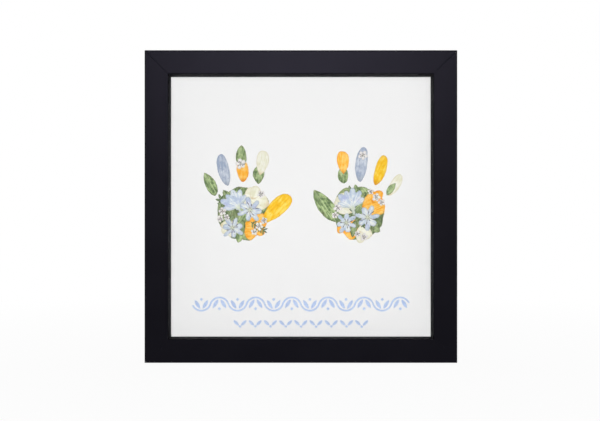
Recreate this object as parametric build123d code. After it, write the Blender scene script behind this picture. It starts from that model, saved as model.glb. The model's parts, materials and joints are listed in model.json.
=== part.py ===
from build123d import *
import os
from math import sqrt

# Square black box frame with a linen panel that shows two handprints made of pressed flowers.
# Millimetres. Seen from the front, X runs to the right, Y to the back and Z up.
# The origin is the middle of the underside of the bottom rail, halfway through its depth.

# Insert: the square stack that the rebate holds
INSERT_SIDE = 203.2
INSERT_CLEARANCE = 0.9

# Rails
FACE_WIDTH = 17.5
REBATE_WIDTH = 5.0
LIP_THICKNESS = 4.0
MITRE_GAP = 0.06
OUTER_EDGE_RADIUS = 1.0
SIGHT_EDGE_RADIUS = 0.5
BACK_EDGE_RADIUS = 0.5

# Thicknesses of the stack behind the lip, from front to back
GLASS_THICKNESS = 2.0
SPACER_DEPTH = 14.0
LINEN_THICKNESS = 0.5
BOARD_THICKNESS = 3.0
TAPE_THICKNESS = 0.2
BACKING_THICKNESS = 3.0
BACKING_INSET = 0.2

# Widths within the stack
SPACER_WIDTH = 3.5
TURN_IN_WIDTH = 20.0
TAPE_WIDTH = 12.0
TAPE_MARGIN = 2.0

# V-nails across the back of each mitre
V_NAIL_LEG = 5.0
V_NAIL_GAUGE = 0.5
V_NAIL_HEIGHT = 10.0
V_NAIL_SINK = 0.4
V_NAIL_INSET = 3.0
V_NAIL_PITCH = 4.0
V_NAIL_COUNT = 2

# Turn buttons and their screws
BUTTON_OFFSET = 60.0
BUTTON_THICKNESS = 1.0
BUTTON_PIVOT_RADIUS = 4.5
BUTTON_TIP_RADIUS = 3.0
BUTTON_REACH = 15.0
BUTTON_RIB_WIDTH = 2.2
BUTTON_RIB_HEIGHT = 0.5
BUTTON_FACE_PLAY = 0.1
BUTTON_BORE_CLEARANCE = 0.06
SCREW_RADIUS = 1.3
SCREW_LENGTH = 9.0
SCREW_HEAD_RADIUS = 2.7
SCREW_HEAD_HEIGHT = 1.5
SCREW_HEAD_ROUND = 0.9
SCREW_CROSS_LENGTH = 2.8
SCREW_CROSS_WIDTH = 0.6
SCREW_CROSS_DEPTH = 0.8

# Sawtooth hanger and its nails
HANGER_LENGTH = 45.0
HANGER_HEIGHT = 9.0
HANGER_GAUGE = 0.8
HANGER_TAB = 8.0
HANGER_RAMP = 2.5
HANGER_STANDOFF = 2.2
TOOTH_PITCH = 3.0
TOOTH_DEPTH = 1.6
NAIL_RADIUS = 0.7
NAIL_LENGTH = 10.0
NAIL_HEAD_RADIUS = 1.6
NAIL_HEAD_HEIGHT = 0.8

# Wall bumpers
BUMPER_RADIUS = 4.5
BUMPER_HEIGHT = 3.2
BUMPER_ROUND = 1.2
BUMPER_INSET = 16.0

# Pressed flowers
PRESSED_THICKNESS = 0.25
HAND_SPREAD = 43.0
HAND_DROP = 5.0
HAND_TILT = 4.0

# Edge of each palm from its middle, with the thumb's side at positive X
PALM_POINTS = {
    "left": [
        (-20, 1), (-19.2, 8), (-15.5, 14.6), (-9.5, 17.8), (-3, 20.6), (4, 19.4),
        (10.5, 19.2), (15.5, 14.5), (19, 9.5), (19.4, 2), (17.6, -5), (15.6, -11.5),
        (9.5, -16.5), (3.5, -20.8), (-4, -19.6), (-10.5, -18.2), (-15.4, -12.4), (-19.2, -7),
    ],
    "right": [
        (-20.4, 5), (-18.6, 11.5), (-14, 16.2), (-8.5, 18.6), (-2, 20.6), (4.5, 19.2),
        (10.8, 18.6), (15.8, 14), (18.2, 8), (19.6, 1.5), (17.6, -4.6), (15.2, -11),
        (10.2, -15.4), (4.5, -20.2), (-2.5, -19.6), (-9, -18.8), (-14, -13.6), (-18.6, -8.6), (-19.6, -2),
    ],
}

# Digits: base across and up from the palm's middle, and lean from upright
DIGITS = {
    "left": {
        "little": (-20.5, 14.5, 22),
        "ring": (-10.5, 21.5, 9),
        "middle": (1.0, 23.5, 0),
        "index": (12.5, 21.0, -11),
        "thumb": (13.0, -9.0, -50),
    },
    "right": {
        "little": (-21.5, 15.0, 28),
        "ring": (-11.5, 22.0, 13),
        "middle": (0.0, 23.5, 3),
        "index": (12.0, 21.5, -7),
        "thumb": (13.5, -7.0, -43),
    },
}

# Blades of petals and leaves: the heights, as shares of the length, where the two side curves
# pull out, the share of that pull that a curve reaches at its widest, and how much more one side
# pulls than the other
BLADE_PULLS = {"leaf": (0.30, 0.70), "lance": (0.10, 0.75), "petal": (0.35, 1.0), "strap": (0.10, 1.0)}
BLADE_PULL_SHARE = 0.75
BLADE_SKEW = 0.14

# Petals of a blossom and a floret seen from above and of a bell seen from the side: turn, share
# of the blossom's radius and share of its petals' width
BLOSSOM_PETALS = [(0, 1.0, 1.0), (70, 0.92, 0.94), (141, 0.97, 1.06), (217, 0.88, 0.92), (289, 0.95, 1.0)]
FLORET_PETALS = [
    (0, 1.0, 0.92), (47, 0.84, 1.06), (98, 0.97, 0.78), (152, 0.78, 1.0),
    (204, 0.94, 0.92), (252, 0.82, 1.10), (307, 0.90, 0.84),
]
BELL_PETALS = [
    (-60, 0.76, 0.82), (-35, 0.95, 0.96), (-11, 1.0, 1.0),
    (12, 0.92, 0.90), (36, 0.98, 1.04), (62, 0.80, 0.80),
]
BLOSSOM_HEART_SHARE = 0.16
BELL_STALK_LENGTH = 6.0
BELL_STALK_WIDTH = 2.4
SPRAY_PAIRS = 6
SPRAY_LEAFLET_SHARE = 0.64
SPRAY_LEAN = 52.0
SPRAY_STALK_WIDTH = 0.9

# Pieces of the left hand: part of the hand, kind, shape, place across and along that part,
# lean, length and width. Later pieces lie over earlier ones. The whole piece fills the palm, and
# the palm's other pieces are trimmed at its edge, apart from the shapes that lie free.
FREE_SHAPES = ("blossom", "floret", "bell", "spray", "lance", "strap")
LEFT_PIECES = [
    ("little", "leaf", "lance", 0.0, 0.0, 0, 20.0, 8.6),
    ("ring", "blue_petal", "strap", 0.0, 0.0, 0, 25.0, 9.2),
    ("middle", "orange_petal", "strap", 0.0, 0.0, 2, 17.5, 9.4),
    ("middle", "leaf", "lance", 0.2, 11.5, -2, 17.0, 8.6),
    ("middle", "white_blossom", "blossom", -0.8, 14.0, 10, 4.4, 3.2),
    ("index", "leaf", "leaf", 0.0, 0.0, 2, 16.0, 9.2),
    ("index", "cream_petal", "petal", 0.2, 6.5, 0, 19.5, 9.8),
    ("palm", "leaf", "whole"),
    ("palm", "leaf", "leaf", -13.0, -19.0, 4, 38.0, 18.0),
    ("palm", "leaf", "leaf", 3.0, -22.0, -20, 30.0, 15.0),
    ("palm", "cream_petals", "petal", 2.0, 1.0, -36, 22.0, 21.0),
    ("palm", "cream_petals", "petal", -5.0, -6.0, 116, 16.0, 13.0),
    ("palm", "orange_petals", "petal", 3.0, -4.0, -108, 18.0, 15.0),
    ("palm", "orange_petals", "petal", 1.0, -6.0, -152, 16.0, 15.0),
    ("palm", "cream_petals", "strap", -11.0, -9.0, 128, 8.2, 6.0),
    ("palm", "leaf", "lance", -4.0, -14.0, 165, 8.2, 5.6),
    ("palm", "orange_petals", "strap", 8.0, -10.0, -140, 9.4, 7.0),
    ("palm", "leaf", "lance", -9.0, 11.0, 35, 9.8, 5.6),
    ("palm", "cream_petals", "strap", 7.0, 10.0, -20, 11.0, 8.0),
    ("thumb", "yellow_petal", "petal", 0.0, 0.0, 0, 30.5, 13.0),
    ("palm", "sprays", "spray", -10.0, -6.0, 20, 22.5, 10.0),
    ("palm", "sprays", "spray", 5.0, -7.0, -128, 13.5, 8.0),
    ("palm", "blue_bells", "bell", -4.0, 4.5, 26, 15.0, 5.4),
    ("palm", "blue_florets", "floret", 5.0, 2.0, 8, 10.8, 5.0),
    ("palm", "leaf", "lance", -1.0, -4.5, 172, 13.0, 5.6),
    ("palm", "blue_florets", "floret", -9.0, -10.5, 30, 9.6, 4.5),
    ("palm", "white_blossoms", "blossom", -16.0, 2.5, 8, 3.6, 2.6),
    ("palm", "white_blossoms", "blossom", -18.0, -2.8, 30, 3.0, 2.2),
    ("palm", "white_blossoms", "blossom", -13.0, -2.2, 52, 2.8, 2.0),
    ("palm", "white_blossoms", "blossom", 11.0, -10.5, 40, 3.6, 2.6),
    ("palm", "white_blossoms", "blossom", 14.8, -6.5, 15, 3.0, 2.2),
    ("palm", "white_blossoms", "blossom", 7.0, -14.5, 61, 3.0, 2.2),
    ("palm", "white_blossoms", "blossom", 14.0, 13.5, 30, 3.4, 2.4),
]

# Pieces of the right hand, listed in the same way and mirrored when they are laid
RIGHT_PIECES = [
    ("little", "cream_petal", "strap", 0.0, 0.0, 0, 19.0, 8.0),
    ("little", "leaf", "leaf", 0.6, -0.6, 4, 12.0, 5.4),
    ("ring", "yellow_petal", "strap", 0.0, 0.0, 0, 24.0, 9.0),
    ("middle", "blue_petal", "strap", 0.0, 0.0, 0, 27.0, 9.4),
    ("middle", "white_blossom", "blossom", 0.3, 20.5, 25, 4.0, 2.9),
    ("index", "leaf", "lance", 0.0, 0.0, 2, 14.5, 8.4),
    ("index", "orange_petal", "petal", 0.0, 7.0, -2, 18.0, 9.6),
    ("palm", "leaf", "whole"),
    ("palm", "leaf", "leaf", -9.0, -20.0, -2, 39.0, 19.0),
    ("palm", "leaf", "leaf", 15.0, -14.0, 42, 32.0, 15.0),
    ("palm", "orange_petals", "petal", -3.0, 1.0, 48, 20.0, 19.0),
    ("palm", "orange_petals", "petal", 1.0, -5.0, -142, 17.0, 15.0),
    ("palm", "cream_petals", "petal", 2.0, 1.0, -64, 18.0, 17.0),
    ("palm", "cream_petals", "petal", -3.0, -8.0, 166, 14.0, 13.0),
    ("palm", "leaf", "lance", -12.0, -9.0, 120, 7.2, 5.4),
    ("palm", "cream_petals", "strap", -2.0, -13.0, 172, 9.4, 7.0),
    ("palm", "orange_petals", "strap", 8.0, -9.0, -138, 9.0, 6.6),
    ("palm", "orange_petals", "strap", -10.0, 9.0, 40, 11.4, 8.0),
    ("palm", "leaf", "lance", 2.0, 12.0, -8, 10.0, 5.0),
    ("thumb", "leaf", "lance", 0.0, 0.0, 0, 31.0, 12.4),
    ("palm", "sprays", "spray", -3.0, -10.0, 62, 17.0, 9.0),
    ("palm", "sprays", "spray", 0.0, -4.0, -18, 25.0, 11.0),
    ("palm", "blue_bells", "bell", 4.0, 4.0, -16, 15.4, 5.6),
    ("palm", "blue_florets", "floret", -7.5, -3.0, 20, 10.6, 4.9),
    ("palm", "leaf", "lance", 1.0, -5.0, -172, 14.0, 5.8),
    ("palm", "blue_florets", "floret", 8.5, -8.0, 50, 9.2, 4.4),
    ("palm", "white_blossoms", "blossom", -13.0, 13.0, 12, 3.6, 2.6),
    ("palm", "white_blossoms", "blossom", -17.2, 9.5, 44, 3.0, 2.2),
    ("palm", "white_blossoms", "blossom", -8.5, 17.0, 63, 2.8, 2.0),
    ("palm", "white_blossoms", "blossom", 15.5, 3.0, 33, 3.6, 2.6),
    ("palm", "white_blossoms", "blossom", 17.0, -2.5, 5, 3.0, 2.2),
    ("palm", "white_blossoms", "blossom", -6.0, -17.5, 0, 3.4, 2.4),
    ("palm", "white_blossoms", "blossom", -0.8, -15.5, 20, 2.8, 2.0),
]

# Embroidery below the hands: a scrolling vine, and a row of sprigs under it
THREAD_HEIGHT = 0.45
THREAD_GAP = 0.35
VINE_RISE_OVER_SPRIGS = 17.0
VINE_LENGTH = 164.0
VINE_HALF_WAVES = 12
VINE_WAVE_HEIGHT = 5.0
VINE_STEM_WIDTH = 1.1
VINE_LEAF_LENGTH = 7.6
VINE_LEAF_WIDTH = 2.5
VINE_LEAF_LEAN = 32.0
VINE_DOT_RADIUS = 0.95
SPRIG_MARGIN = 7.6
SPRIG_COUNT = 9
SPRIG_PITCH = 11.5
SPRIG_LEAF_LENGTH = 5.6
SPRIG_LEAF_WIDTH = 2.0
SPRIG_LEAF_LEAN = 46.0
SPRIG_DOT_RADIUS = 0.85

# Sides of the frame's squares
REBATE_SIDE = INSERT_SIDE + 2 * INSERT_CLEARANCE
OUTER_SIDE = REBATE_SIDE + 2 * (FACE_WIDTH - REBATE_WIDTH)
BOARD_SIDE = INSERT_SIDE - 2 * LINEN_THICKNESS
CENTRE_Z = OUTER_SIDE / 2

# Depths along Y
PANEL_DEPTH = BOARD_THICKNESS + TAPE_THICKNESS + 2 * LINEN_THICKNESS
STACK_DEPTH = GLASS_THICKNESS + SPACER_DEPTH + PANEL_DEPTH + BACKING_THICKNESS
RAIL_DEPTH = LIP_THICKNESS + STACK_DEPTH + BACKING_INSET
FRONT_Y = -RAIL_DEPTH / 2
LIP_Y = FRONT_Y + LIP_THICKNESS
GLASS_BACK_Y = LIP_Y + GLASS_THICKNESS
LINEN_Y = GLASS_BACK_Y + SPACER_DEPTH
BOARD_Y = LINEN_Y + LINEN_THICKNESS
BOARD_BACK_Y = BOARD_Y + BOARD_THICKNESS
TURN_IN_Y = BOARD_BACK_Y + TAPE_THICKNESS
BACKING_Y = TURN_IN_Y + LINEN_THICKNESS
BACKING_BACK_Y = BACKING_Y + BACKING_THICKNESS
BACK_Y = BACKING_BACK_Y + BACKING_INSET

# Heights of the rebate and the fixings on the bottom rail, and of the hanger on the top rail
REBATE_Z = FACE_WIDTH - REBATE_WIDTH
FIXING_Z = REBATE_Z / 2
HANGER_Z = OUTER_SIDE - FIXING_Z

# Heights of the two rows of embroidery, above the spacer at the foot of the panel
SPRIG_Z = CENTRE_Z - INSERT_SIDE / 2 + SPACER_WIDTH + SPRIG_MARGIN
VINE_Z = SPRIG_Z + VINE_RISE_OVER_SPRIGS

# Angle that turns the bottom rail about the frame's centre to each side, and the names of the
# two ends of that side, first the one that is on the left of the bottom rail
SIDE_ANGLES = {"bottom": 0, "left": 90, "top": 180, "right": 270}
SIDE_ENDS = {
    "bottom": ("left", "right"),
    "left": ("upper", "lower"),
    "top": ("right", "left"),
    "right": ("lower", "upper"),
}
CENTRE_AXIS = Axis((0, 0, CENTRE_Z), (0, 1, 0))


def slab(outline, front, back):
    """Solid with an outline drawn in X and Z, between two places along Y."""
    return extrude(Plane.XZ.offset(-back) * outline, amount=back - front)


def square(side):
    """Square outline round the frame's centre."""
    return Pos(0, CENTRE_Z) * Rectangle(side, side)


def disc(x, z, radius):
    return Pos(x, z) * Circle(radius)


def turned(shape, angle):
    """Copy of something on the bottom rail, turned to another side of the frame."""
    return shape.rotate(CENTRE_AXIS, angle)


# Rails and the nails in their corners


def rounded(section, corner, radius):
    return fillet(section.vertices().sort_by_distance(corner)[0], radius)


def rail_blank():
    """Bottom rail with square ends: an L section with its lip at the front."""
    corners = [
        (FRONT_Y, 0),
        (FRONT_Y, FACE_WIDTH),
        (LIP_Y, FACE_WIDTH),
        (LIP_Y, REBATE_Z),
        (BACK_Y, REBATE_Z),
        (BACK_Y, 0),
    ]
    section = make_face(Polyline(*corners, close=True))
    section = rounded(section, (FRONT_Y, 0), OUTER_EDGE_RADIUS)
    section = rounded(section, (FRONT_Y, FACE_WIDTH), SIGHT_EDGE_RADIUS)
    section = rounded(section, (BACK_Y, 0), BACK_EDGE_RADIUS)
    return extrude(Plane.YZ * section, amount=OUTER_SIDE / 2, both=True)


def mitre_outline():
    """Front view of the bottom rail between its two 45 degree mitres."""
    half = OUTER_SIDE / 2 - MITRE_GAP / sqrt(2)
    inner = half - FACE_WIDTH
    return make_face(
        Polyline((-half, 0), (half, 0), (inner, FACE_WIDTH), (-inner, FACE_WIDTH), close=True)
    )


def corner_v_nails():
    """The V-nails of the bottom left corner, one leg in each rail."""
    back = BACK_Y - V_NAIL_SINK
    nails = []
    for number in range(V_NAIL_COUNT):
        place = V_NAIL_INSET + number * V_NAIL_PITCH
        bend = Pos(place - CENTRE_Z, place) * Rectangle(V_NAIL_GAUGE, V_NAIL_GAUGE)
        leg_middle = place + V_NAIL_LEG / 2
        low_leg = Pos(leg_middle - CENTRE_Z, place) * Rectangle(V_NAIL_LEG, V_NAIL_GAUGE)
        side_leg = Pos(place - CENTRE_Z, leg_middle) * Rectangle(V_NAIL_GAUGE, V_NAIL_LEG)
        nails.append(slab(bend + low_leg + side_leg, back - V_NAIL_HEIGHT, back))
    return nails


def all_v_nails():
    return [turned(nail, angle) for angle in SIDE_ANGLES.values() for nail in corner_v_nails()]


def v_nail_slots():
    """Slots for every V-nail, open at the back of the rails."""
    slots = []
    for nail in all_v_nails():
        slots.append(nail)
        slots.append(Pos(0, V_NAIL_SINK, 0) * nail)
    return slots


def rails():
    """The four rails, with the holes and slots of what is driven into their backs."""
    blank = rail_blank() & slab(mitre_outline(), FRONT_Y, BACK_Y)
    for x in (-BUTTON_OFFSET, BUTTON_OFFSET):
        blank -= slab(disc(x, FIXING_Z, SCREW_RADIUS), BACK_Y - SCREW_LENGTH, BACK_Y)
    slots = v_nail_slots()
    made = {}
    for side, angle in SIDE_ANGLES.items():
        made[f"rail_{side}"] = turned(blank, angle) - slots
    for x in nail_places():
        made["rail_top"] -= slab(disc(x, HANGER_Z, NAIL_RADIUS), BACK_Y - NAIL_LENGTH, BACK_Y)
    return made


# Stack behind the lip


def spacers():
    """Strips that hold the glass and the panel apart; the side ones fit between the others."""
    reach = INSERT_SIDE / 2 - SPACER_WIDTH / 2
    side_length = INSERT_SIDE - 2 * SPACER_WIDTH
    made = {}
    for side, sign in (("bottom", -1), ("top", 1)):
        outline = Pos(0, CENTRE_Z + sign * reach) * Rectangle(INSERT_SIDE, SPACER_WIDTH)
        made[f"spacer_{side}"] = slab(outline, GLASS_BACK_Y, LINEN_Y)
    for side, sign in (("left", -1), ("right", 1)):
        outline = Pos(sign * reach, CENTRE_Z) * Rectangle(SPACER_WIDTH, side_length)
        made[f"spacer_{side}"] = slab(outline, GLASS_BACK_Y, LINEN_Y)
    return made


def linen_panel():
    """Linen wrapped round the board, with its turn-ins on the board's back."""
    wrapped = slab(square(INSERT_SIDE), LINEN_Y, BACKING_Y)
    wrapped -= slab(square(BOARD_SIDE), BOARD_Y, TURN_IN_Y)
    return wrapped - slab(square(INSERT_SIDE - 2 * TURN_IN_WIDTH), TURN_IN_Y, BACKING_Y)


def turn_in_tapes():
    """One strip of tape under each turn-in, pinwheel fashion so that they don't meet."""
    length = BOARD_SIDE - 2 * TAPE_MARGIN - TAPE_WIDTH
    middle_x = -TAPE_WIDTH / 2
    middle_z = CENTRE_Z - BOARD_SIDE / 2 + TAPE_MARGIN + TAPE_WIDTH / 2
    outline = Pos(middle_x, middle_z) * Rectangle(length, TAPE_WIDTH)
    strip = slab(outline, BOARD_BACK_Y, TURN_IN_Y)
    return [turned(strip, angle) for angle in SIDE_ANGLES.values()]


# Turn buttons


def turn_button(x):
    """Turn button on the bottom rail, with its tongue over the backing."""
    pivot = disc(x, FIXING_Z, BUTTON_PIVOT_RADIUS)
    tip = disc(x, FIXING_Z + BUTTON_REACH, BUTTON_TIP_RADIUS)
    bore = disc(x, FIXING_Z, SCREW_RADIUS + BUTTON_BORE_CLEARANCE)
    front = BACK_Y + BUTTON_FACE_PLAY
    back = front + BUTTON_THICKNESS
    rib_start = FIXING_Z + max(BUTTON_PIVOT_RADIUS, SCREW_HEAD_RADIUS + BUTTON_RIB_WIDTH / 2)
    rib_end = FIXING_Z + BUTTON_REACH
    rib_middle = (rib_start + rib_end) / 2
    rib = Pos(x, rib_middle) * SlotCenterToCenter(rib_end - rib_start, BUTTON_RIB_WIDTH, rotation=90)
    plate = slab(make_hull((pivot + tip).edges()) - bore, front, back)
    return plate + slab(rib, back, back + BUTTON_RIB_HEIGHT)


def button_screw(x):
    """Round-headed screw with a cross recess, which the turn button swings on."""
    seat = BACK_Y + 2 * BUTTON_FACE_PLAY + BUTTON_THICKNESS
    top = seat + SCREW_HEAD_HEIGHT
    shank = slab(disc(x, FIXING_Z, SCREW_RADIUS), BACK_Y - SCREW_LENGTH, seat)
    head = slab(disc(x, FIXING_Z, SCREW_HEAD_RADIUS), seat, top)
    head = fillet(head.edges().group_by(Axis.Y)[-1], SCREW_HEAD_ROUND)
    cross = Rectangle(SCREW_CROSS_LENGTH, SCREW_CROSS_WIDTH)
    cross += Rectangle(SCREW_CROSS_WIDTH, SCREW_CROSS_LENGTH)
    return shank + head - slab(Pos(x, FIXING_Z) * cross, top - SCREW_CROSS_DEPTH, top)


def buttons_and_screws():
    made = {"turn_button_screws": []}
    for side, angle in SIDE_ANGLES.items():
        for end, x in zip(SIDE_ENDS[side], (-BUTTON_OFFSET, BUTTON_OFFSET)):
            made[f"turn_button_{side}_{end}"] = turned(turn_button(x), angle)
            made["turn_button_screws"].append(turned(button_screw(x), angle))
    return made


# Hanging hardware


def nail_places():
    reach = (HANGER_LENGTH - HANGER_TAB) / 2
    return (-reach, reach)


def sawtooth_hanger():
    """Strip with a nail tab at each end, a raised middle and teeth on its lower edge."""
    half = HANGER_LENGTH / 2
    tab = half - HANGER_TAB
    span = tab - HANGER_RAMP
    under = BACK_Y
    over = BACK_Y + HANGER_STANDOFF
    line = Polyline((-half, under), (-tab, under), (-span, over), (span, over), (tab, under), (half, under))
    raised = Pos(0, HANGER_GAUGE) * line
    ends = [Line(line @ 0, raised @ 0), Line(line @ 1, raised @ 1)]
    profile = make_face(line.edges() + raised.edges() + ends)
    strip = extrude(Plane.XY.offset(HANGER_Z - HANGER_HEIGHT / 2) * profile, amount=HANGER_HEIGHT)
    for x in nail_places():
        strip -= slab(disc(x, HANGER_Z, NAIL_RADIUS), under, over)
    return strip - hanger_notches(span)


def hanger_notches(span):
    """Cuts between the teeth, along the lower edge of the raised middle."""
    low = HANGER_Z - HANGER_HEIGHT / 2
    count = int(2 * span / TOOTH_PITCH)
    notches = []
    for number in range(count):
        x = (number - (count - 1) / 2) * TOOTH_PITCH
        points = [(x - TOOTH_PITCH / 2, low), (x + TOOTH_PITCH / 2, low), (x, low + TOOTH_DEPTH)]
        outline = make_face(Polyline(*points, close=True))
        notches.append(slab(outline, BACK_Y, BACK_Y + HANGER_STANDOFF + HANGER_GAUGE))
    return notches


def hanger_nails():
    seat = BACK_Y + HANGER_GAUGE
    made = []
    for x in nail_places():
        shank = slab(disc(x, HANGER_Z, NAIL_RADIUS), BACK_Y - NAIL_LENGTH, seat)
        made.append(shank + slab(disc(x, HANGER_Z, NAIL_HEAD_RADIUS), seat, seat + NAIL_HEAD_HEIGHT))
    return made


def wall_bumpers():
    made = []
    for x in (BUMPER_INSET - CENTRE_Z, CENTRE_Z - BUMPER_INSET):
        pad = slab(disc(x, FIXING_Z, BUMPER_RADIUS), BACK_Y, BACK_Y + BUMPER_HEIGHT)
        made.append(fillet(pad.edges().group_by(Axis.Y)[-1], BUMPER_ROUND))
    return made


# Pressed flowers


def blade(length, width, pulls, skew=0.0):
    """Petal or leaf from its base at the origin to its tip straight up."""
    side = width / 2 / BLADE_PULL_SHARE
    low, high = (pull * length for pull in pulls)
    reaches = (side * (1 + skew), -side * (1 - skew))
    return make_face([Bezier((0, 0), (reach, low), (reach, high), (0, length)) for reach in reaches])


def petals(radius, petal_width, shares):
    """Petals that spread from the origin, with a small heart where they meet."""
    spread = []
    for turn, long_share, wide_share in shares:
        petal = blade(radius * long_share, petal_width * wide_share, BLADE_PULLS["petal"])
        spread.append(Rot(0, 0, turn) * petal)
    return Circle(radius * BLOSSOM_HEART_SHARE) + spread


def bell(radius, petal_width):
    """Half-open blossom on its stalk, pressed from the side."""
    stalk = blade(BELL_STALK_LENGTH, BELL_STALK_WIDTH, BLADE_PULLS["strap"])
    return petals(radius, petal_width, BELL_PETALS) + Rot(0, 0, 180) * stalk


def spray(length, width):
    """Stalk with pairs of leaflets along it and one at its end, like a fern's frond."""
    pitch = length / (SPRAY_PAIRS + 1)
    leaflet = blade(width / 2, pitch * SPRAY_LEAFLET_SHARE, BLADE_PULLS["leaf"])
    stalk_length = SPRAY_PAIRS * pitch
    outline = Pos(0, stalk_length / 2) * Rectangle(SPRAY_STALK_WIDTH, stalk_length)
    outline += Pos(0, stalk_length - SPRAY_STALK_WIDTH) * leaflet
    for number in range(SPRAY_PAIRS):
        joint = Pos(0, (number + 0.5) * pitch)
        outline += [joint * Rot(0, 0, lean) * leaflet for lean in (-SPRAY_LEAN, SPRAY_LEAN)]
    return outline


def palm(side, flip):
    return make_face(Spline(*[(flip * x, z) for x, z in PALM_POINTS[side]], periodic=True))


def hand_part(side, part, flip):
    """Place of a part of the hand, with flip at -1 for the mirrored hand."""
    if part == "palm":
        return Pos(0, 0)
    x, z, lean = DIGITS[side][part]
    return Pos(flip * x, z) * Rot(0, 0, flip * lean)


def piece_outline(shape, length, width, skew):
    """Outline of one pressed piece, from its base or its middle."""
    if shape == "blossom":
        return petals(length, width, BLOSSOM_PETALS)
    if shape == "floret":
        return petals(length, width, FLORET_PETALS)
    if shape == "bell":
        return bell(length, width)
    if shape == "spray":
        return spray(length, width)
    return blade(length, width, BLADE_PULLS[shape], skew)


def overlap(one, other):
    shared = one & other
    return shared is not None and shared.area > 0


def hand_outlines(side, pieces, flip):
    """Kind and outline of each piece of a hand. Blades are fuller on the left and right in turn."""
    edge = palm(side, flip)
    for number, (part, kind, shape, *sizes) in enumerate(pieces):
        outline = edge
        if shape != "whole":
            across, along, lean, length, width = sizes
            place = hand_part(side, part, flip) * Pos(flip * across, along) * Rot(0, 0, flip * lean)
            outline = place * piece_outline(shape, length, width, (-1) ** number * BLADE_SKEW)
        if part == "palm" and shape not in FREE_SHAPES:
            outline = outline & edge
        yield f"{side}_{part}_{kind}", outline


def hand(side, pieces, flip):
    """Solids of one hand, by node. A piece lies one layer above the highest that it covers."""
    hand_place = Pos(-flip * HAND_SPREAD, CENTRE_Z - HAND_DROP) * Rot(0, 0, flip * HAND_TILT)
    laid = []
    made = {}
    for node, outline in hand_outlines(side, pieces, flip):
        layer = max((level for level, other in laid if overlap(outline, other)), default=0) + 1
        laid.append((layer, outline))
        front = LINEN_Y - layer * PRESSED_THICKNESS
        made.setdefault(node, []).append(slab(hand_place * outline, front, front + PRESSED_THICKNESS))
    return made


# Embroidery


def stitched(outlines, height):
    """Raised stitching on the linen, at a height above the frame's base."""
    place = Pos(0, height)
    return [slab(place * outline, LINEN_Y - THREAD_HEIGHT, LINEN_Y) for outline in outlines]


def leaf_pair(length, width, lean, root):
    """Two leaves that spread upwards from either side of the origin, a root apart."""
    leaf = Pos(0, root) * blade(length, width, BLADE_PULLS["leaf"])
    return [Rot(0, 0, turn) * leaf for turn in (-lean, lean)]


def vine():
    """Stem of arcs that bend up and down in turn, with two leaves and a dot in every bend."""
    half_wave = VINE_LENGTH / VINE_HALF_WAVES
    root = VINE_STEM_WIDTH / 2 + THREAD_GAP
    stem = []
    fillings = []
    for number in range(VINE_HALF_WAVES):
        start = number * half_wave - VINE_LENGTH / 2
        sign = 1 if number % 2 else -1
        middle = start + half_wave / 2
        stem.append(ThreePointArc((start, 0), (middle, sign * VINE_WAVE_HEIGHT), (start + half_wave, 0)))
        bend = Pos(middle, sign * VINE_WAVE_HEIGHT) * Rot(0, 0, 90 + 90 * sign)
        leaves = leaf_pair(VINE_LEAF_LENGTH, VINE_LEAF_WIDTH, VINE_LEAF_LEAN, 2 * root)
        dot = disc(0, VINE_LEAF_LENGTH + root, VINE_DOT_RADIUS)
        fillings += [bend * outline for outline in leaves + [dot]]
    return [trace(stem, VINE_STEM_WIDTH)] + fillings


def sprigs():
    """Row of small sprigs, each a pair of leaves that spread from a dot."""
    root = SPRIG_DOT_RADIUS + THREAD_GAP
    made = []
    for number in range(SPRIG_COUNT):
        place = Pos((number - (SPRIG_COUNT - 1) / 2) * SPRIG_PITCH, 0)
        leaves = leaf_pair(SPRIG_LEAF_LENGTH, SPRIG_LEAF_WIDTH, SPRIG_LEAF_LEAN, root)
        made += [place * outline for outline in leaves + [disc(0, 0, SPRIG_DOT_RADIUS)]]
    return made


def assembly():
    """Every node's shape or list of shapes."""
    nodes = rails()
    nodes["corner_v_nails"] = all_v_nails()
    nodes["glass_pane"] = slab(square(INSERT_SIDE), LIP_Y, GLASS_BACK_Y)
    nodes.update(spacers())
    nodes["linen_panel"] = linen_panel()
    nodes["mount_board"] = slab(square(BOARD_SIDE), BOARD_Y, BOARD_BACK_Y)
    nodes["turn_in_tapes"] = turn_in_tapes()
    nodes["backing_board"] = slab(square(INSERT_SIDE), BACKING_Y, BACKING_BACK_Y)
    nodes.update(buttons_and_screws())
    nodes["sawtooth_hanger"] = sawtooth_hanger()
    nodes["hanger_nails"] = hanger_nails()
    nodes["wall_bumpers"] = wall_bumpers()
    nodes.update(hand("left", LEFT_PIECES, 1))
    nodes.update(hand("right", RIGHT_PIECES, -1))
    nodes["embroidered_vine"] = stitched(vine(), VINE_Z)
    nodes["embroidered_sprigs"] = stitched(sprigs(), SPRIG_Z)
    return nodes


os.makedirs("parts", exist_ok=True)
for name, shape in assembly().items():
    solids = [solid for item in (shape if isinstance(shape, list) else [shape]) for solid in item.solids()]
    export_step(Compound(children=solids), f"parts/{name}.step")
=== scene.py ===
import json
import math

import bmesh
import bpy
import numpy as np
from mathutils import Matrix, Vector, geometry


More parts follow.
